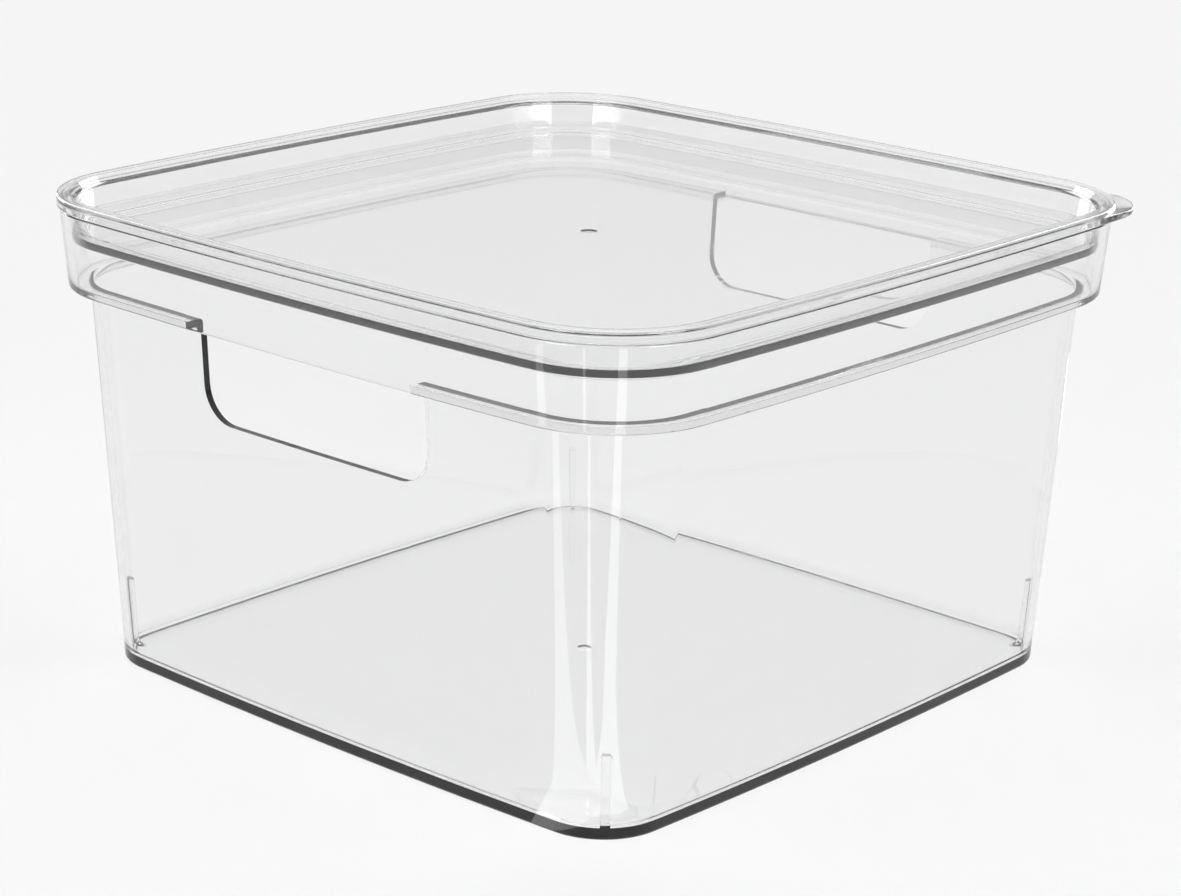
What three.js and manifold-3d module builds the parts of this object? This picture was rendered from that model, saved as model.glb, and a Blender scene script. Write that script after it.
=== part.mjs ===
// Stackable storage bin: a clear moulded tub with two hand-holes and a lid that plugs into it.
// Millimetres, +Z up. The origin is the middle of the underside. The hand-holes are in the -Y and
// +Y walls, and the lid's lifting tab is at the (+X, +Y) corner.
import * as THREE from 'three';
import { mergeVertices } from 'three/addons/utils/BufferGeometryUtils.js';
import Module from 'manifold-3d';

const wasm = await Module();
wasm.setup();

// Plan outline. Every level of the bin is an offset of one rounded square with bowed sides, so
// all corner arcs share their centres. A half-width is measured at the middle of a side.
const HALF_WIDTH = 127;
const CORNER_CENTRE = 89.2;
const SIDE_RADIUS = 2200;
const SIDE_STEPS = 4;
const CORNER_STEPS = 10;
const FILLET_STEPS = 3;
const FILLET_SHARE = 0.49;
const FLAT_MARGIN = 8;
const CUT_MARGIN = 1;

// Tub
const TUB_HEIGHT = 146;
const FOOT_HALF = 110.1;
const SHOULDER_HALF = 117.5;
const COLLAR_HALF = 124;
const LIP_HALF = 126.2;
const SHOULDER_Z = 121;
const WALL = 2.2;
const BASE = 2.6;
const FOOT_RADIUS = 1.4;
const FLOOR_RADIUS = 3;
const LEDGE_RADIUS = 0.9;
const COLLAR_RADIUS = 1.6;

// Hand-holes
const HOLE_HALF = 46;
const HOLE_BOTTOM = 92;
const HOLE_CORNER = 11;
const NOTCH_HALF = 121.7;
const NOTCH_TOP = 124.6;

// Corner ribs, which keep nested tubs from jamming
const RIB_WIDTH = 2;
const RIB_DEPTH = 3;
const RIB_TOP = 25;
const RIB_ROOT = 1;

// Lid
const LID_TOP = 150;
const SEAT_GAP = 0.3;
const FLOOR_TOP = 137.9;
const FLOOR_UNDER = 136.5;
const FLANGE_UNDER = TUB_HEIGHT + SEAT_GAP;
const BEAD_HALF = 122.9;
const NECK_HALF = 122.2;
const FLANGE_THICKNESS = 1.8;
const HEM_THICKNESS = 2;
const RIM_INNER_HALF = 123.3;
const TRAY_HALF = 120.2;
const BEAD_Z = 138.5;
const BEAD_LEAD = 0.4;
const BEAD_RADIUS = 1.4;
const NECK_Z = 140.9;
const NECK_DRAFT = 0.4;
const TRAY_DRAFT = 1.1;
const TRAY_RADIUS = 1.2;
const EDGE_RADIUS = 0.6;
const SKIRT_HALF = 118.9;
const SKIRT_THICKNESS = 1.6;
const SKIRT_BOTTOM = 134.8;
const TAB_CORNER_RADIUS = 21;
const TAB_THICKNESS = 2;
const TAB_QUARTER = 60;

const CLEAR_TINT = 0xe4eaec;

// Points of an outline whose four corners have the given radius, counter-clockwise from above.
// Each side is one shallow arc that runs into the corner arcs without a kink.
function outline(half, cornerRadius) {
  const sideRadius = SIDE_RADIUS + half - HALF_WIDTH;
  const reach = (sideRadius - half) / (sideRadius - cornerRadius);
  const tilt = Math.acos(reach / Math.SQRT2) - Math.PI / 4;
  const centre = (sideRadius - cornerRadius) * Math.sin(tilt);
  const quarter = [];
  for (let i = 0; i < SIDE_STEPS; i++) {
    const angle = -tilt + (2 * tilt * i) / SIDE_STEPS;
    quarter.push(new THREE.Vector2(
      half - sideRadius + sideRadius * Math.cos(angle),
      sideRadius * Math.sin(angle),
    ));
  }
  for (let i = 0; i < CORNER_STEPS; i++) {
    const angle = tilt + ((Math.PI / 2 - 2 * tilt) * i) / CORNER_STEPS;
    quarter.push(new THREE.Vector2(
      centre + cornerRadius * Math.cos(angle),
      centre + cornerRadius * Math.sin(angle),
    ));
  }
  const origin = new THREE.Vector2();
  return [0, 1, 2, 3].flatMap((turn) => (
    quarter.map((point) => point.clone().rotateAround(origin, (turn * Math.PI) / 2))
  ));
}

const offsetOutline = (half) => outline(half, half - CORNER_CENTRE);

// Closed skin through a stack of outlines with equal point counts, capped at both ends.
function skin(levels) {
  const count = levels[0].points.length;
  const positions = levels.flatMap(({ points, z }) => points.flatMap((p) => [p.x, p.y, z]));
  const indices = [];
  for (let level = 0; level + 1 < levels.length; level++) {
    for (let i = 0; i < count; i++) {
      const a = level * count + i;
      const b = level * count + ((i + 1) % count);
      indices.push(a, b, b + count, a, b + count, a + count);
    }
  }
  const first = levels.length * count;
  const last = first + 1;
  const lastRow = (levels.length - 1) * count;
  positions.push(0, 0, levels[0].z, 0, 0, levels.at(-1).z);
  for (let i = 0; i < count; i++) {
    const next = (i + 1) % count;
    indices.push(first, next, i);
    indices.push(last, lastRow + i, lastRow + next);
  }
  const geometry = new THREE.BufferGeometry();
  geometry.setAttribute('position', new THREE.Float32BufferAttribute(positions, 3));
  geometry.setIndex(indices);
  return geometry;
}

// Arc of the given radius, or the largest that fits, that replaces the corner of a section.
function roundCorner(before, corner, after, radius) {
  const back = before.clone().sub(corner);
  const ahead = after.clone().sub(corner);
  const halfAngle = back.angleTo(ahead) / 2;
  const longest = FILLET_SHARE * Math.min(back.length(), ahead.length());
  const run = Math.min(radius / Math.tan(halfAngle), longest);
  back.normalize();
  ahead.normalize();
  const bisector = back.clone().add(ahead).normalize();
  const middle = corner.clone().addScaledVector(bisector, run / Math.cos(halfAngle));
  const start = corner.clone().addScaledVector(back, run).sub(middle);
  const end = corner.clone().addScaledVector(ahead, run).sub(middle);
  const turn = Math.atan2(start.cross(end), start.dot(end));
  const origin = new THREE.Vector2();
  return Array.from({ length: FILLET_STEPS + 1 }, (_, i) => (
    start.clone().rotateAround(origin, (turn * i) / FILLET_STEPS).add(middle)
  ));
}

// Skin around a section, from the underside's centre outward. Its rows are a half-width, a height
// and, where the corner there is round, its radius.
function moulding(section) {
  const corners = section.map(([half, z]) => new THREE.Vector2(half, z));
  const points = section.flatMap(([, , radius], i) => (
    radius ? roundCorner(corners[i - 1], corners[i], corners[i + 1], radius) : [corners[i]]
  ));
  return skin(points.map((p) => ({ points: offsetOutline(p.x), z: p.y })));
}

// Straight-sided block with one of the bin's outlines.
const block = (points, low, high) => skin([{ points, z: low }, { points, z: high }]);

function toSolid(geometry) {
  const bare = geometry.clone();
  bare.deleteAttribute('normal');
  bare.deleteAttribute('uv');
  const merged = mergeVertices(bare);
  return new wasm.Manifold(new wasm.Mesh({
    numProp: 3,
    vertProperties: new Float32Array(merged.attributes.position.array),
    triVerts: new Uint32Array(merged.index.array),
  }));
}

function toGeometry(solid) {
  const mesh = solid.getMesh();
  const geometry = new THREE.BufferGeometry();
  geometry.setAttribute('position', new THREE.BufferAttribute(mesh.vertProperties, 3));
  geometry.setIndex(new THREE.BufferAttribute(mesh.triVerts, 1));
  geometry.computeVertexNormals();
  return geometry;
}

// Half-width of the tub's outer wall below the shoulder.
function outerWallHalf(z) {
  return FOOT_HALF + (z / SHOULDER_Z) * (SHOULDER_HALF - FOOT_HALF);
}

function tubShell() {
  const ledge = SHOULDER_Z + WALL;
  const floorHalf = outerWallHalf(BASE) - WALL;
  return moulding([
    [FOOT_HALF - FLAT_MARGIN, 0],
    [FOOT_HALF, 0, FOOT_RADIUS],
    [SHOULDER_HALF, SHOULDER_Z, LEDGE_RADIUS],
    [COLLAR_HALF, SHOULDER_Z, COLLAR_RADIUS],
    [LIP_HALF, TUB_HEIGHT],
    [LIP_HALF - WALL, TUB_HEIGHT],
    [COLLAR_HALF - WALL, ledge, LEDGE_RADIUS],
    [SHOULDER_HALF - WALL, ledge, LEDGE_RADIUS],
    [floorHalf, BASE, FLOOR_RADIUS],
    [floorHalf - FLAT_MARGIN, BASE],
  ]);
}

// One slot across the tub opens both hand-holes. It also notches the ledge, and stops at the
// collar, whose lower edge is then the grip.
function handHoleCutter() {
  const profile = new THREE.Shape();
  profile.moveTo(HOLE_HALF, NOTCH_TOP);
  profile.lineTo(-HOLE_HALF, NOTCH_TOP);
  profile.lineTo(-HOLE_HALF, HOLE_BOTTOM + HOLE_CORNER);
  profile.absarc(-HOLE_HALF + HOLE_CORNER, HOLE_BOTTOM + HOLE_CORNER, HOLE_CORNER,
    Math.PI, 1.5 * Math.PI, false);
  profile.absarc(HOLE_HALF - HOLE_CORNER, HOLE_BOTTOM + HOLE_CORNER, HOLE_CORNER,
    1.5 * Math.PI, 2 * Math.PI, false);
  profile.closePath();
  const slot = new THREE.ExtrudeGeometry(profile, {
    depth: 2 * HALF_WIDTH,
    bevelEnabled: false,
    curveSegments: 8,
  });
  slot.rotateX(Math.PI / 2);
  slot.translate(0, HALF_WIDTH, 0);
  const insideCollar = block(offsetOutline(NOTCH_HALF), HOLE_BOTTOM - CUT_MARGIN, NOTCH_TOP);
  return toSolid(slot).intersect(toSolid(insideCollar));
}

// Upright rib on the inside of one corner, following the slope of the wall.
function cornerRib(turn) {
  const diagonal = (z) => {
    const points = offsetOutline(outerWallHalf(z) - WALL);
    return Math.max(...points.map((p) => p.length()));
  };
  const top = diagonal(RIB_TOP);
  const bottom = diagonal(BASE);
  const profile = new THREE.Shape([
    new THREE.Vector2(bottom - RIB_DEPTH, BASE - RIB_ROOT),
    new THREE.Vector2(bottom + RIB_ROOT, BASE - RIB_ROOT),
    new THREE.Vector2(top + RIB_ROOT, RIB_TOP),
    new THREE.Vector2(top - RIB_DEPTH, RIB_TOP),
  ]);
  const rib = new THREE.ExtrudeGeometry(profile, { depth: RIB_WIDTH, bevelEnabled: false });
  rib.rotateX(Math.PI / 2);
  rib.translate(0, RIB_WIDTH / 2, 0);
  rib.rotateZ(Math.PI / 4 + (turn * Math.PI) / 2);
  return toSolid(rib);
}

function tubGeometry() {
  let tub = toSolid(tubShell()).subtract(handHoleCutter());
  for (let turn = 0; turn < 4; turn++) {
    tub = tub.add(cornerRib(turn));
  }
  return toGeometry(tub);
}

// The lid's section: skirt, snap bead, neck, flange with a turned-down hem that rests on the
// tub's lip, rim and sunken tray.
function lidShell() {
  const roof = LID_TOP - FLANGE_THICKNESS;
  const hemInner = HALF_WIDTH - HEM_THICKNESS;
  return moulding([
    [SKIRT_HALF - SKIRT_THICKNESS, FLOOR_UNDER],
    [SKIRT_HALF - SKIRT_THICKNESS, SKIRT_BOTTOM],
    [SKIRT_HALF, SKIRT_BOTTOM],
    [SKIRT_HALF, FLOOR_UNDER],
    [BEAD_HALF - BEAD_LEAD, FLOOR_UNDER],
    [BEAD_HALF, BEAD_Z, BEAD_RADIUS],
    [NECK_HALF, NECK_Z, BEAD_RADIUS],
    [NECK_HALF + NECK_DRAFT, roof, EDGE_RADIUS],
    [hemInner, roof],
    [hemInner, FLANGE_UNDER],
    [HALF_WIDTH, FLANGE_UNDER, EDGE_RADIUS],
    [HALF_WIDTH, LID_TOP, EDGE_RADIUS],
    [RIM_INNER_HALF, LID_TOP, EDGE_RADIUS],
    [TRAY_HALF + TRAY_DRAFT, roof - 0.5 * FLANGE_THICKNESS],
    [TRAY_HALF, FLOOR_TOP, TRAY_RADIUS],
    [TRAY_HALF - FLAT_MARGIN, FLOOR_TOP],
  ]);
}

// Lifting tab: a thin plate that fills one corner out towards a sharper point.
function tab() {
  const plate = toSolid(block(
    outline(HALF_WIDTH, TAB_CORNER_RADIUS), FLANGE_UNDER, FLANGE_UNDER + TAB_THICKNESS,
  ));
  const inside = toSolid(block(
    offsetOutline(HALF_WIDTH - HEM_THICKNESS / 2), FLANGE_UNDER - CUT_MARGIN, LID_TOP,
  ));
  const quarter = new THREE.BoxGeometry(HALF_WIDTH, HALF_WIDTH, LID_TOP);
  quarter.translate(TAB_QUARTER + HALF_WIDTH / 2, TAB_QUARTER + HALF_WIDTH / 2, LID_TOP / 2);
  return plate.intersect(toSolid(quarter)).subtract(inside);
}

const lidGeometry = () => toGeometry(toSolid(lidShell()).add(tab()));

const clearPlastic = () => new THREE.MeshStandardMaterial({
  color: CLEAR_TINT,
  roughness: 0.08,
  metalness: 0,
  transparent: true,
  opacity: 0.3,
});

function part(name, geometry) {
  const mesh = new THREE.Mesh(geometry, clearPlastic());
  mesh.name = name;
  return mesh;
}

const bin = new THREE.Group();
bin.add(part('bin_body', tubGeometry()));
bin.add(part('lid', lidGeometry()));

export default bin;
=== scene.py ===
"""Looks of the stackable storage bin: a clear moulded tub and its snap-in lid, on a pale floor."""
import math

import bmesh
import bpy
import numpy as np
from mathutils import Matrix, Vector


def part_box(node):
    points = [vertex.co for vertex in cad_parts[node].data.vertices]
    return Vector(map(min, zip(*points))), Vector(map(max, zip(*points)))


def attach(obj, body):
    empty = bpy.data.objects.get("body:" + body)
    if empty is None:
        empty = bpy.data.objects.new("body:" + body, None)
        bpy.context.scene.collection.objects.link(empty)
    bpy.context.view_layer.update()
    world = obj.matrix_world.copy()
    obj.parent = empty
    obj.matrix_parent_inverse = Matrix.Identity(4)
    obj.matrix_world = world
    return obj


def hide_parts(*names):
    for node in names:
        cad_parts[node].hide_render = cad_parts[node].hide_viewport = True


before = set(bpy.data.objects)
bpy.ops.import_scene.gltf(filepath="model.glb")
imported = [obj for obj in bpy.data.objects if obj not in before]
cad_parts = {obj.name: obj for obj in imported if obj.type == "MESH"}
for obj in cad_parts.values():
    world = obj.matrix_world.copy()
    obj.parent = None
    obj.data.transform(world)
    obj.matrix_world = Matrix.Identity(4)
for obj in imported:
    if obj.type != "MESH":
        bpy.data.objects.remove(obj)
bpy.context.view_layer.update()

# Everything is in metres. MM turns a size in millimetres into metres.
MM = 0.001

# Plan outline: every level is an offset of one rounded square with bowed sides.
LID_LOW, LID_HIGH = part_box("lid")
_, TUB_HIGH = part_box("bin_body")
HALF_WIDTH = LID_HIGH.x
CORNER_CENTRE = 89.2 * MM
SIDE_RADIUS = 2200 * MM

# Columns of the meshes: how far apart they stand on a plain side, how many steps a hand-hole's
# lower corner and a whole corner arc have, and the shares of the arc where a rib's flank starts
# and where its crest does
COLUMN_STEP = 12 * MM
BEND_STEPS = 10
CORNER_STEPS = 24
RIB_FLANK_SHARE = 0.45
RIB_CREST_SHARE = 0.462

# Round corners of a section: steps of each arc, and the most of an edge that one arc may take
FILLET_STEPS = 4
FILLET_SHARE = 0.49

# Two lengths closer than this are the same
TOLERANCE = 1e-9

# Tub
LIP_HALF = TUB_HIGH.x
LIP_Z = TUB_HIGH.z
COLLAR_HALF = 124 * MM
SHOULDER_HALF = 117.5 * MM
FOOT_HALF = 110.1 * MM
SHOULDER_Z = 121 * MM
WALL = 2.2 * MM
BASE = 2.6 * MM
FOOT_RADIUS = 1.4 * MM
FLOOR_RADIUS = 3 * MM
FOOT_FLAT = 8 * MM
FLOOR_FLAT = 12 * MM
SHOULDER_RADIUS = 0.8 * MM
COLLAR_RADIUS = 1.6 * MM
LEDGE_OUTER_RADIUS = 0.9 * MM
LEDGE_INNER_RADIUS = 1.4 * MM
LIP_RADIUS = 0.6 * MM
COLLAR_MIDDLE_Z = SHOULDER_Z + 11.4 * MM
COLLAR_MIDDLE_FLARE = 1 * MM
WALL_ROWS = (12 * MM, 30 * MM, 50 * MM, 72 * MM)

# Hand-holes, in the -Y and +Y walls
HOLE_HALF = 46 * MM
HOLE_BOTTOM = 92 * MM
HOLE_CORNER = 11 * MM
HOLE_EDGE_RADIUS = 0.35 * MM
HOLE_MARGIN = 8 * MM
NOTCH_MARGIN = 0.1 * MM
NOTCH_LEAN = 0.12 * MM
NOTCH_RISE = 1.3 * MM
SHARP_ANGLE = math.radians(50)

# Ribs in the tub's four inner corners
RIB_DEPTH = 3 * MM
RIB_TOP = 25 * MM
RIB_STEP = 0.5 * MM

# Lid
LID_TOP = LID_HIGH.z
SKIRT_BOTTOM = LID_LOW.z
FLOOR_TOP = 137.9 * MM
FLOOR_UNDER = 136.5 * MM
FLANGE_UNDER = LIP_Z + 0.3 * MM
BEAD_HALF = 122.9 * MM
NECK_HALF = 122.2 * MM
FLANGE_THICKNESS = 1.8 * MM
HEM_THICKNESS = 2 * MM
RIM_INNER_HALF = 123.3 * MM
TRAY_HALF = 120.2 * MM
SKIRT_HALF = 118.9 * MM
SKIRT_THICKNESS = 1.6 * MM
TAB_CORNER_RADIUS = 21 * MM
TAB_THICKNESS = 2 * MM
TAB_EDGE = 0.6 * MM
TAB_STEP = 0.15 * MM
BEAD_Z = FLOOR_UNDER + 2 * MM
BEAD_LEAD = 0.4 * MM
BEAD_FOOT_RADIUS = 0.7 * MM
BEAD_RADIUS = 1.4 * MM
NECK_Z = FLOOR_UNDER + 4.4 * MM
NECK_DRAFT = 0.4 * MM
NECK_TOP_RADIUS = 0.8 * MM
SKIRT_ROOT_FLAT = 4 * MM
SKIRT_ROOT_RADIUS = 0.5 * MM
SKIRT_EDGE_RADIUS = 0.4 * MM
HEM_ROOT_RADIUS = 0.4 * MM
HEM_EDGE_RADIUS = 0.3 * MM
FLANGE_EDGE_RADIUS = 0.5 * MM
RIM_OUTER_RADIUS = 0.9 * MM
RIM_INNER_RADIUS = 0.6 * MM
TRAY_DRAFT = 1.1 * MM
TRAY_DROP = 0.8 * MM
TRAY_SHOULDER_RADIUS = 1.5 * MM
TRAY_RADIUS = 1.2 * MM
TRAY_FLAT = 8 * MM
GATE_RADIUS = 2.4 * MM
GATE_DEPTH = 0.15 * MM

# Rings that fill a flat: shares of its outline, then for the gate mark the share of its radius
# and of its depth
FLAT_SHARES = (0.96, 0.85, 0.65, 0.45, 0.25, 0.12)
GATE_RINGS = ((1.3, 0.0), (1.0, 0.1), (0.85, 1.0), (0.4, 1.0))

# Clear plastic: tint of its surface, colour that its body passes and how strongly it absorbs
PLASTIC_TINT = (0.998, 0.999, 0.999, 1)
PLASTIC_IOR = 1.5
PASSED_COLOUR = (0.03, 0.035, 0.035, 1)
ABSORPTION = 20
FLOW_HEIGHT = 0.02 * MM
FLOW_DETAIL = 1.5
TUB_FLOW_SCALE = 25
LID_FLOW_SCALE = 20
RUBBING_SCALE = 60
RUBBING_DETAIL = 6
RUBBING_RANGE = (0.5, 0.8)
RUBBED_ROUGHNESS = 0.06

# Camera
CAMERA_AZIMUTH = math.radians(41.82)
CAMERA_ELEVATION = math.radians(17.35)
CAMERA_ROLL = math.radians(1.14)
CAMERA_DISTANCE = 981.4 * MM
CAMERA_TARGET = Vector((1.35, 1.21, 68.4)) * MM
CAMERA_LENS = 95.58
SENSOR_WIDTH = 36.0
CAMERA_REACH = 50

# Floor
STUDIO_SIZE = 60.0
STUDIO_DROP = 0.3 * MM
STUDIO_ALBEDO = 0.93

# Light: how bright the sky is at each height (the sine of the angle above the horizon), and how
# much of it the floor catches
SKY = ((0.0, 0.28), (0.2, 0.68), (0.5, 0.9), (1.0, 1.0))
FLOOR_LIGHT = 0.985
SKY_SAMPLES = 500
LIGHT_BOUNCES = 32
GLOSSY_BOUNCES = 16

# Strips: where they stand, in degrees round from the camera, and their size and brightness
STRIP_ANGLES = (-138, -42, 42, 138)
STRIP_DISTANCE = 1.6
STRIP_WIDTH = 0.8
STRIP_HEIGHT = 1.4
STRIP_RADIANCE = 5.0

# Reflectors that lie on the floor and fan out from two opposite corners of the bin: for each one
# its turn from the corner's diagonal, in degrees, its width and its brightness
REFLECTORS = ((-68, 0.04, 2.0), (-27, 0.012, 3.0), (6, 0.03, 3.0))
REFLECTOR_CORNERS = (-45, 135)
REFLECTOR_LENGTH = 0.34
REFLECTOR_GAP = 0.01
REFLECTOR_HEIGHT = 1 * MM


# ---------------------------------------------------------------- plan outlines

def side_marks():
    """Distances from the middle of a side at which its columns stand.

    They close up where a hand-hole's lower corner is round.
    """
    inner = HOLE_HALF - HOLE_CORNER
    turns = np.linspace(0, math.pi / 2, BEND_STEPS + 1)
    bend = [inner + HOLE_CORNER * math.sin(turn) for turn in turns]
    near = [COLUMN_STEP * i for i in (1, 2)]
    far = [HOLE_HALF + HOLE_MARGIN + COLUMN_STEP * i for i in range(3)]
    right = near + bend + far
    return np.array([-x for x in reversed(right)] + [0.0] + right)


def corner_marks():
    """Shares of a corner arc at which its columns stand, with a rib's two flanks in the middle."""
    shares = [i / CORNER_STEPS for i in range(CORNER_STEPS)]
    left = [share for share in shares if share < RIB_FLANK_SHARE]
    left += [RIB_FLANK_SHARE, RIB_CREST_SHARE]
    return np.array(left + [0.5] + [1 - share for share in reversed(left[1:])])


SIDE_MARKS = side_marks()
CORNER_MARKS = corner_marks()
QUARTER = 1 + len(SIDE_MARKS) + len(CORNER_MARKS)
COLUMNS = 4 * QUARTER


def corner_tilt(half, radius):
    """Angle from a side's middle, about the side arc's centre, where the corner arc takes over."""
    side_radius = SIDE_RADIUS + half - HALF_WIDTH
    reach = (side_radius - half) / (side_radius - radius)
    return math.acos(reach / math.sqrt(2)) - math.pi / 4


def side_points(half, radius):
    """The +X side, from the end of the corner arc before it to its last column."""
    side_radius = SIDE_RADIUS + half - HALF_WIDTH
    start = -side_radius * math.sin(corner_tilt(half, radius))
    y = np.concatenate([[start], SIDE_MARKS])
    return np.column_stack([half - side_radius + np.sqrt(side_radius ** 2 - y ** 2), y])


def corner_points(half, radius):
    """The corner arc that follows the +X side."""
    side_radius = SIDE_RADIUS + half - HALF_WIDTH
    tilt = corner_tilt(half, radius)
    centre = (side_radius - radius) * math.sin(tilt)
    angle = tilt + (math.pi / 2 - 2 * tilt) * CORNER_MARKS
    return centre + radius * np.column_stack([np.cos(angle), np.sin(angle)])


def outline(half, tab_radius=None):
    """All columns of one level, counter-clockwise from above.

    tab_radius gives the (+X, +Y) corner a tighter arc, which is the shape of the lid's tab.
    """
    plain = half - CORNER_CENTRE
    quarters = []
    for turn in range(4):
        before = tab_radius if tab_radius and turn == 1 else plain
        after = tab_radius if tab_radius and turn == 0 else plain
        quarter = np.concatenate([side_points(half, before), corner_points(half, after)])
        for _ in range(turn):
            quarter = np.column_stack([-quarter[:, 1], quarter[:, 0]])
        quarters.append(quarter)
    return np.concatenate(quarters)


def level(half, z, tab_radius=None):
    """One ring of a skin."""
    flat = outline(half, tab_radius)
    return np.column_stack([flat, np.full(COLUMNS, z)])


def hand_hole_columns():
    """For each column: whether it crosses a hand-hole (edges included), and its distance
    from the hole's middle. The holes are in the sides of turns 1 and 3."""
    crosses = np.zeros(COLUMNS, bool)
    distance = np.full(COLUMNS, np.inf)
    for turn in (1, 3):
        first = turn * QUARTER + 1
        distance[first:first + len(SIDE_MARKS)] = np.abs(SIDE_MARKS)
    crosses[distance <= HOLE_HALF + TOLERANCE] = True
    return crosses, distance


def rib_columns():
    """The three columns at the crest of each corner's rib."""
    middle = 1 + len(SIDE_MARKS) + len(CORNER_MARKS) // 2
    return [turn * QUARTER + middle + step for turn in range(4) for step in (-1, 0, 1)]


# ---------------------------------------------------------------- sections

def round_corner(before, corner, after, radius):
    """Points of an arc of this radius, or the largest that fits, that replaces a corner."""
    before, corner, after = (np.array(p, float) for p in (before, corner, after))
    back, ahead = before - corner, after - corner
    back_length, ahead_length = np.linalg.norm(back), np.linalg.norm(ahead)
    back, ahead = back / back_length, ahead / ahead_length
    half_angle = math.acos(np.clip(back @ ahead, -1, 1)) / 2
    longest = FILLET_SHARE * min(back_length, ahead_length)
    run = min(radius / math.tan(half_angle), longest)
    bisector = (back + ahead) / np.linalg.norm(back + ahead)
    middle = corner + bisector * run / math.cos(half_angle)
    start, end = corner + back * run - middle, corner + ahead * run - middle
    turn = math.atan2(start[0] * end[1] - start[1] * end[0], start @ end)
    angles = np.linspace(0, turn, FILLET_STEPS + 1)
    return [
        tuple(middle + start * math.cos(a) + np.array([-start[1], start[0]]) * math.sin(a))
        for a in angles
    ]


def trace(section):
    """Turns rows of (half-width, height, corner radius, name) into points, and says where each
    name is. A named row keeps its place, so it has no radius."""
    points, names = [], {}
    for i, (half, z, radius, name) in enumerate(section):
        if radius > 0:
            points += round_corner(section[i - 1][:2], (half, z), section[i + 1][:2], radius)
        else:
            points.append((half, z))
        if name:
            names[name] = len(points) - 1
    return points, names


# ---------------------------------------------------------------- meshes

def disc_levels(half, z, gate_depth):
    """Rings that fill an outline inward to the small round gate mark at its middle."""
    edge = outline(half)
    angle = np.arctan2(edge[:, 1], edge[:, 0])
    circle = np.column_stack([np.cos(angle), np.sin(angle)])
    rings = []
    for share in FLAT_SHARES:
        flat = share * (share * edge + (1 - share) * half * circle)
        rings.append(np.column_stack([flat, np.full(COLUMNS, z)]))
    for radius, depth in GATE_RINGS:
        flat = circle * GATE_RADIUS * radius
        rings.append(np.column_stack([flat, np.full(COLUMNS, z + gate_depth * depth)]))
    return rings


def skin_faces(rings, open_bands=(), open_columns=None):
    """Quads between rings, and a fan over each end.

    Between the ring numbers in open_bands, the columns of open_columns are left open.
    """
    faces = []
    for i in range(len(rings) - 1):
        for j in range(COLUMNS):
            k = (j + 1) % COLUMNS
            if i in open_bands and open_columns[j] and open_columns[k]:
                continue
            faces.append((i * COLUMNS + j, i * COLUMNS + k, (i + 1) * COLUMNS + k,
                          (i + 1) * COLUMNS + j))
    first = len(rings) * COLUMNS
    last_ring = (len(rings) - 1) * COLUMNS
    for j in range(COLUMNS):
        k = (j + 1) % COLUMNS
        faces.append((first, k, j))
        faces.append((first + 1, last_ring + j, last_ring + k))
    return faces


def make_piece(name, rings, faces, material):
    """A mesh object from rings and faces, with a point in the middle of each end ring."""
    ends = [ring.mean(axis=0) for ring in (rings[0], rings[-1])]
    mesh = bpy.data.meshes.new(name)
    mesh.from_pydata([tuple(v) for v in np.concatenate(rings + [np.array(ends)])], [], faces)
    mesh.materials.append(material)
    piece = bpy.data.objects.new(name, mesh)
    bpy.context.scene.collection.objects.link(piece)
    return piece


def soften_sharp_edges(piece, radius):
    """Rounds every edge that is still sharp."""
    shape = bmesh.new()
    shape.from_mesh(piece.data)
    sharp = [e for e in shape.edges if len(e.link_faces) == 2
             and e.calc_face_angle(0) > SHARP_ANGLE]
    bmesh.ops.bevel(shape, geom=sharp, offset=radius, segments=2, profile=0.5,
                    affect="EDGES", clamp_overlap=True)
    shape.to_mesh(piece.data)
    shape.free()


def shade_smooth(piece):
    """Smooth shading with normals weighted by face area, so broad faces stay true."""
    mesh = piece.data
    mesh.polygons.foreach_set("use_smooth", [True] * len(mesh.polygons))
    modifier = piece.modifiers.new("weighted_normals", "WEIGHTED_NORMAL")
    modifier.mode = "FACE_AREA"
    modifier.weight = 50


# ---------------------------------------------------------------- tub

def outer_wall_half(z):
    """Half-width of the outside of the tub's wall below the shoulder."""
    share = (z - FOOT_RADIUS) / (SHOULDER_Z - FOOT_RADIUS)
    return FOOT_HALF + share * (SHOULDER_HALF - FOOT_HALF)


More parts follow.
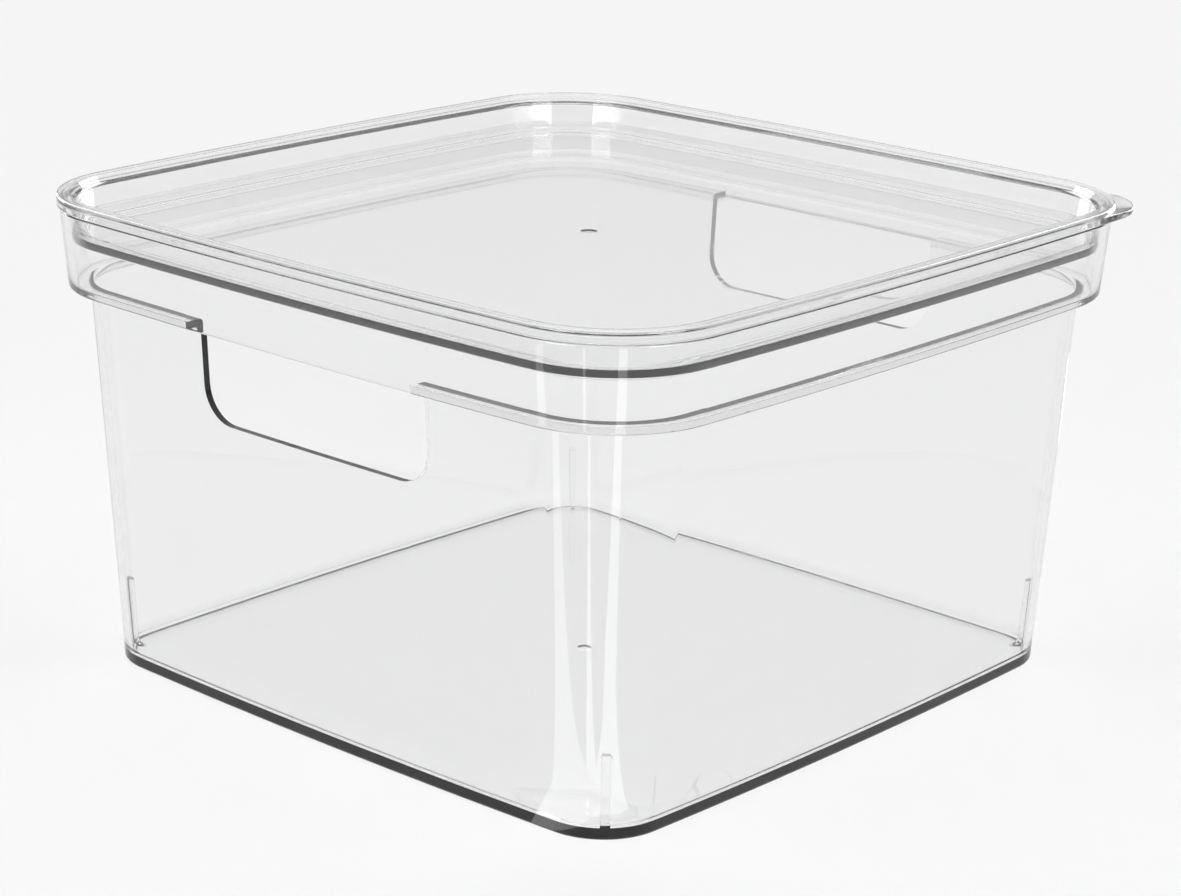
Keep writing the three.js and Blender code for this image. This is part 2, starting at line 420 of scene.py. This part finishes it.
def tub_section():
    """The tub's section, from the underside up the outside, over the lip and down the inside."""
    hole_row = HOLE_BOTTOM + HOLE_CORNER
    ledge = SHOULDER_Z + WALL

    def wall(z, inset, name=None):
        return (outer_wall_half(z) - inset, z, 0, name)

    outside = [
        (FOOT_HALF - FOOT_FLAT, 0, 0, None),
        (FOOT_HALF, 0, FOOT_RADIUS, "foot"),
        *[wall(z, 0) for z in WALL_ROWS],
        wall(hole_row, 0, "hole_outside"),
        wall(hole_row + HOLE_MARGIN, 0),
        (SHOULDER_HALF, SHOULDER_Z, SHOULDER_RADIUS, None),
        (COLLAR_HALF - WALL - NOTCH_MARGIN, SHOULDER_Z, 0, "notch_outside"),
        (COLLAR_HALF, SHOULDER_Z, COLLAR_RADIUS, None),
        (COLLAR_HALF + COLLAR_MIDDLE_FLARE, COLLAR_MIDDLE_Z, 0, None),
        (LIP_HALF, LIP_Z, LIP_RADIUS, None),
    ]
    inside = [
        (LIP_HALF - WALL, LIP_Z, LIP_RADIUS, None),
        (COLLAR_HALF - WALL + COLLAR_MIDDLE_FLARE, COLLAR_MIDDLE_Z, 0, None),
        (COLLAR_HALF - WALL + NOTCH_LEAN, ledge + NOTCH_RISE, 0, "notch_inside"),
        (COLLAR_HALF - WALL, ledge, LEDGE_OUTER_RADIUS, None),
        (SHOULDER_HALF - WALL, ledge, LEDGE_INNER_RADIUS, None),
        wall(hole_row + HOLE_MARGIN, WALL),
        wall(hole_row, WALL, "hole_inside"),
        *[wall(z, WALL) for z in reversed(WALL_ROWS[1:])],
        wall(RIB_TOP + RIB_STEP, WALL, "rib_top"),
        wall(RIB_TOP, WALL),
        wall(WALL_ROWS[0], WALL),
        (outer_wall_half(BASE) - WALL, BASE, FLOOR_RADIUS, "floor"),
        (FOOT_HALF - FLOOR_FLAT, BASE, 0, None),
    ]
    return trace(outside + inside)


def dip_to_hand_holes(rings, names):
    """Bends the wall's rows down, so that one follows the lower edge of each hand-hole."""
    crosses, distance = hand_hole_columns()
    inner = HOLE_HALF - HOLE_CORNER
    past = np.clip(distance - inner, 0, HOLE_CORNER)
    edge = HOLE_BOTTOM + HOLE_CORNER - np.sqrt(HOLE_CORNER ** 2 - past ** 2)
    scale = np.where(crosses, edge / (HOLE_BOTTOM + HOLE_CORNER), 1.0)
    rows = [(i, 0) for i in range(names["foot"] + 1, names["hole_outside"] + 1)]
    rows += [(i, WALL) for i in range(names["hole_inside"], names["rib_top"])]
    side = np.sign(rings[0][:, 1])
    for i, inset in rows:
        for j in np.flatnonzero(crosses):
            x = rings[i][j][0]
            z = rings[i][j][2] * scale[j]
            half = outer_wall_half(z) - inset
            side_radius = SIDE_RADIUS + half - HALF_WIDTH
            y = half - side_radius + math.sqrt(side_radius ** 2 - x ** 2)
            rings[i][j] = (x, side[j] * y, z)


def raise_ribs(rings, names):
    """Moves the crest columns of the corner ribs in from the wall, down to the floor."""
    for i in range(names["rib_top"] + 1, names["floor"] + 1):
        for j in rib_columns():
            outward = rings[i][j][:2] / np.linalg.norm(rings[i][j][:2])
            rings[i][j][:2] -= outward * RIB_DEPTH


def hand_hole_faces(names):
    """The walls of the hand-holes: their lower edge, their two ends and the collar above."""
    crosses, _ = hand_hole_columns()
    faces = []
    low_out, low_in = names["hole_outside"] * COLUMNS, names["hole_inside"] * COLUMNS
    top_out, top_in = names["notch_outside"] * COLUMNS, names["notch_inside"] * COLUMNS
    for j in range(COLUMNS - 1):
        if crosses[j] and crosses[j + 1]:
            faces.append((low_out + j, low_out + j + 1, low_in + j + 1, low_in + j))
            faces.append((top_in + j, top_in + j + 1, top_out + j + 1, top_out + j))
    outside = list(range(names["hole_outside"], names["notch_outside"] + 1))
    inside = list(range(names["notch_inside"], names["hole_inside"] + 1))
    for j in range(COLUMNS):
        loop = [i * COLUMNS + j for i in outside + inside]
        if crosses[j] and not crosses[j - 1]:
            faces.append(tuple(reversed(loop)))
        if crosses[j] and not crosses[(j + 1) % COLUMNS]:
            faces.append(tuple(loop))
    return faces


def make_tub(material):
    points, names = tub_section()
    rings = [level(half, z) for half, z in points]
    dip_to_hand_holes(rings, names)
    raise_ribs(rings, names)
    crosses, _ = hand_hole_columns()
    under = disc_levels(points[0][0], points[0][1], GATE_DEPTH)
    floor = disc_levels(points[-1][0], points[-1][1], 0)
    under.reverse()
    start = len(under)
    names = {name: index + start for name, index in names.items()}
    rings = under + rings + floor
    bands = set(range(names["hole_outside"], names["notch_outside"]))
    bands |= set(range(names["notch_inside"], names["hole_inside"]))
    faces = skin_faces(rings, bands, crosses) + hand_hole_faces(names)
    piece = make_piece("clear_tub", rings, faces, material)
    soften_sharp_edges(piece, HOLE_EDGE_RADIUS)
    shade_smooth(piece)
    return piece


# ---------------------------------------------------------------- lid

def lid_section():
    """The lid's section, from its underside outward: skirt, snap bead, neck, flange with its
    turned-down hem, rim and tray."""
    roof = LID_TOP - FLANGE_THICKNESS
    hem_inner = HALF_WIDTH - HEM_THICKNESS
    tab_top = FLANGE_UNDER + TAB_THICKNESS
    return trace([
        (SKIRT_HALF - SKIRT_THICKNESS - SKIRT_ROOT_FLAT, FLOOR_UNDER, 0, None),
        (SKIRT_HALF - SKIRT_THICKNESS, FLOOR_UNDER, SKIRT_ROOT_RADIUS, None),
        (SKIRT_HALF - SKIRT_THICKNESS, SKIRT_BOTTOM, SKIRT_EDGE_RADIUS, None),
        (SKIRT_HALF, SKIRT_BOTTOM, SKIRT_EDGE_RADIUS, None),
        (SKIRT_HALF, FLOOR_UNDER, SKIRT_ROOT_RADIUS, None),
        (BEAD_HALF - BEAD_LEAD, FLOOR_UNDER, BEAD_FOOT_RADIUS, None),
        (BEAD_HALF, BEAD_Z, BEAD_RADIUS, None),
        (NECK_HALF, NECK_Z, BEAD_RADIUS, None),
        (NECK_HALF + NECK_DRAFT, roof, NECK_TOP_RADIUS, None),
        (hem_inner, roof, HEM_ROOT_RADIUS, None),
        (hem_inner, FLANGE_UNDER, HEM_EDGE_RADIUS, "hem"),
        (HALF_WIDTH, FLANGE_UNDER, FLANGE_EDGE_RADIUS, None),
        (HALF_WIDTH, tab_top - TAB_EDGE, 0, None),
        (HALF_WIDTH, tab_top, 0, "tab_top"),
        (HALF_WIDTH, tab_top + TAB_STEP, 0, None),
        (HALF_WIDTH, LID_TOP, RIM_OUTER_RADIUS, None),
        (RIM_INNER_HALF, LID_TOP, RIM_INNER_RADIUS, None),
        (TRAY_HALF + TRAY_DRAFT, roof - TRAY_DROP, TRAY_SHOULDER_RADIUS, None),
        (TRAY_HALF, FLOOR_TOP, TRAY_RADIUS, None),
        (TRAY_HALF - TRAY_FLAT, FLOOR_TOP, 0, None),
    ])


def make_lid(material):
    points, names = lid_section()
    rings = []
    for i, (half, z) in enumerate(points):
        in_tab = names["hem"] < i <= names["tab_top"]
        rounding = TAB_EDGE if in_tab and i == names["tab_top"] else 0
        rings.append(level(half, z, TAB_CORNER_RADIUS + rounding if in_tab else None))
    under = disc_levels(points[0][0], points[0][1], 0)
    tray = disc_levels(points[-1][0], points[-1][1], -GATE_DEPTH)
    under.reverse()
    rings = under + rings + tray
    piece = make_piece("clear_lid", rings, skin_faces(rings), material)
    shade_smooth(piece)
    return piece


# ---------------------------------------------------------------- material

def clear_plastic(name, flow_scale):
    """Clear polished plastic: sharp gloss, a faint waviness from moulding, fine rubbing marks,
    and an absorption that darkens only long paths, such as a sheet seen through its edge."""
    material = bpy.data.materials.new(name)
    material.use_nodes = True
    nodes, links = material.node_tree.nodes, material.node_tree.links
    nodes.clear()
    output = nodes.new("ShaderNodeOutputMaterial")
    shader = nodes.new("ShaderNodeBsdfPrincipled")
    shader.inputs["Base Color"].default_value = PLASTIC_TINT
    shader.inputs["IOR"].default_value = PLASTIC_IOR
    shader.inputs["Transmission Weight"].default_value = 1.0

    place = nodes.new("ShaderNodeTexCoord")
    flow = nodes.new("ShaderNodeTexNoise")
    flow.inputs["Scale"].default_value = flow_scale
    flow.inputs["Detail"].default_value = FLOW_DETAIL
    links.new(place.outputs["Object"], flow.inputs["Vector"])
    bump = nodes.new("ShaderNodeBump")
    bump.inputs["Strength"].default_value = 1.0
    bump.inputs["Distance"].default_value = FLOW_HEIGHT
    links.new(flow.outputs["Fac"], bump.inputs["Height"])
    links.new(bump.outputs["Normal"], shader.inputs["Normal"])

    rubbing = nodes.new("ShaderNodeTexNoise")
    rubbing.inputs["Scale"].default_value = RUBBING_SCALE
    rubbing.inputs["Detail"].default_value = RUBBING_DETAIL
    links.new(place.outputs["Object"], rubbing.inputs["Vector"])
    gloss = nodes.new("ShaderNodeMapRange")
    gloss.inputs["From Min"].default_value = RUBBING_RANGE[0]
    gloss.inputs["From Max"].default_value = RUBBING_RANGE[1]
    gloss.inputs["To Min"].default_value = 0.0
    gloss.inputs["To Max"].default_value = RUBBED_ROUGHNESS
    links.new(rubbing.outputs["Fac"], gloss.inputs["Value"])
    links.new(gloss.outputs["Result"], shader.inputs["Roughness"])

    see_through = nodes.new("ShaderNodeBsdfTransparent")
    see_through.inputs["Color"].default_value = (1, 1, 1, 1)
    light_path = nodes.new("ShaderNodeLightPath")
    mix = nodes.new("ShaderNodeMixShader")
    links.new(light_path.outputs["Is Shadow Ray"], mix.inputs["Fac"])
    links.new(shader.outputs["BSDF"], mix.inputs[1])
    links.new(see_through.outputs["BSDF"], mix.inputs[2])
    links.new(mix.outputs["Shader"], output.inputs["Surface"])

    body = nodes.new("ShaderNodeVolumeAbsorption")
    body.inputs["Color"].default_value = PASSED_COLOUR
    body.inputs["Density"].default_value = ABSORPTION
    links.new(body.outputs["Volume"], output.inputs["Volume"])
    return material


# ---------------------------------------------------------------- stage

def make_floor():
    """A wide pale floor just under the bin."""
    mesh = bpy.data.meshes.new("studio_floor")
    signs = ((-1, -1), (1, -1), (1, 1), (-1, 1))
    corners = [(x * STUDIO_SIZE, y * STUDIO_SIZE, -STUDIO_DROP) for x, y in signs]
    mesh.from_pydata(corners, [], [(0, 1, 2, 3)])
    material = bpy.data.materials.new("pale_floor")
    material.use_nodes = True
    shader = material.node_tree.nodes["Principled BSDF"]
    shader.inputs["Base Color"].default_value = (*[STUDIO_ALBEDO] * 3, 1)
    shader.inputs["Roughness"].default_value = 1.0
    shader.inputs["Specular IOR Level"].default_value = 0.0
    mesh.materials.append(material)
    floor = bpy.data.objects.new("studio_floor", mesh)
    bpy.context.scene.collection.objects.link(floor)


def make_sky():
    """Soft light from all round, brightest overhead. Its strength gives the floor FLOOR_LIGHT."""
    world = bpy.data.worlds.new("soft_studio")
    bpy.context.scene.world = world
    world.use_nodes = True
    nodes, links = world.node_tree.nodes, world.node_tree.links
    background = nodes["Background"]
    direction = nodes.new("ShaderNodeTexCoord")
    split = nodes.new("ShaderNodeSeparateXYZ")
    ramp = nodes.new("ShaderNodeValToRGB")
    ramp.color_ramp.elements.remove(ramp.color_ramp.elements[1])
    ramp.color_ramp.elements[0].position = SKY[0][0]
    ramp.color_ramp.elements[0].color = (*[SKY[0][1]] * 3, 1)
    for height, brightness in SKY[1:]:
        stop = ramp.color_ramp.elements.new(height)
        stop.color = (*[brightness] * 3, 1)
    links.new(direction.outputs["Generated"], split.inputs["Vector"])
    links.new(split.outputs["Z"], ramp.inputs["Fac"])
    links.new(ramp.outputs["Color"], background.inputs["Color"])
    height = np.linspace(0, 1, SKY_SAMPLES)
    brightness = np.interp(height, [h for h, _ in SKY], [b for _, b in SKY])
    on_the_floor = 2 * np.mean(brightness * height)
    background.inputs["Strength"].default_value = FLOOR_LIGHT / on_the_floor


def make_light(name, middle, facing, width, height, radiance):
    """A rectangular light that shows only as a gleam on the plastic."""
    light = bpy.data.lights.new(name, "AREA")
    light.shape = "RECTANGLE"
    light.size = width
    light.size_y = height
    light.energy = radiance * math.pi * width * height
    source = bpy.data.objects.new(name, light)
    source.location = middle
    source.rotation_euler = (-facing).to_track_quat("Z", "Y").to_euler()
    source.visible_camera = False
    source.visible_diffuse = False
    source.visible_transmission = False
    bpy.context.scene.collection.objects.link(source)
    return source


def make_strips():
    """Tall soft boxes that stand round the bin, each between a side's view and a corner's."""
    for i, side in enumerate(STRIP_ANGLES):
        azimuth = CAMERA_AZIMUTH + math.radians(side)
        away = Vector((math.sin(azimuth), -math.cos(azimuth), 0))
        middle = away * STRIP_DISTANCE + Vector((0, 0, STRIP_HEIGHT / 2))
        make_light(f"strip_{i}", middle, -away, STRIP_WIDTH, STRIP_HEIGHT, STRIP_RADIANCE)


def make_reflectors():
    """Narrow bright cards on the floor, which draw upright streaks on the round corners."""
    reach = math.hypot(CORNER_CENTRE, CORNER_CENTRE) + FOOT_HALF - CORNER_CENTRE
    for corner in REFLECTOR_CORNERS:
        outward = math.radians(corner)
        root = Vector((math.cos(outward), math.sin(outward), 0)) * reach
        for turn, width, radiance in REFLECTORS:
            angle = outward + math.radians(turn)
            along = Vector((math.cos(angle), math.sin(angle), 0))
            lift = Vector((0, 0, REFLECTOR_HEIGHT))
            middle = root + along * (REFLECTOR_LENGTH / 2 + REFLECTOR_GAP) + lift
            card = make_light(f"reflector_{corner}_{turn}", middle, Vector((0, 0, 1)),
                              width, REFLECTOR_LENGTH, radiance)
            card.rotation_euler = (math.pi, 0, angle - math.pi / 2)


def make_camera():
    """Looks down on one corner, as the bin is usually shown."""
    data = bpy.data.cameras.new("camera")
    data.lens = CAMERA_LENS
    data.sensor_width = SENSOR_WIDTH
    data.sensor_fit = "HORIZONTAL"
    data.clip_end = CAMERA_REACH
    camera = bpy.data.objects.new("camera", data)
    bpy.context.scene.collection.objects.link(camera)
    a, e, roll = CAMERA_AZIMUTH, CAMERA_ELEVATION, CAMERA_ROLL
    back = Vector((math.sin(a) * math.cos(e), -math.cos(a) * math.cos(e), math.sin(e)))
    right = Vector((math.cos(a), math.sin(a), 0))
    up = back.cross(right)
    rolled_right = right * math.cos(roll) + up * math.sin(roll)
    rolled_up = up * math.cos(roll) - right * math.sin(roll)
    rotation = Matrix((rolled_right, rolled_up, back)).transposed()
    camera.matrix_world = Matrix.Translation(CAMERA_TARGET + back * CAMERA_DISTANCE) @ (
        rotation.to_4x4()
    )
    bpy.context.scene.camera = camera


def set_view():
    """A plain transfer curve, and enough light bounces for edges that carry light a long way."""
    scene = bpy.context.scene
    scene.view_settings.view_transform = "Standard"
    scene.cycles.max_bounces = LIGHT_BOUNCES
    scene.cycles.transmission_bounces = LIGHT_BOUNCES
    scene.cycles.glossy_bounces = GLOSSY_BOUNCES
    scene.cycles.transparent_max_bounces = LIGHT_BOUNCES


make_camera()
make_floor()
make_sky()
make_strips()
make_reflectors()
set_view()

tub = make_tub(clear_plastic("clear_tub_plastic", TUB_FLOW_SCALE))
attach(tub, "bin")
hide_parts("bin_body")

lid = make_lid(clear_plastic("clear_lid_plastic", LID_FLOW_SCALE))
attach(lid, "lid")
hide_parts("lid")
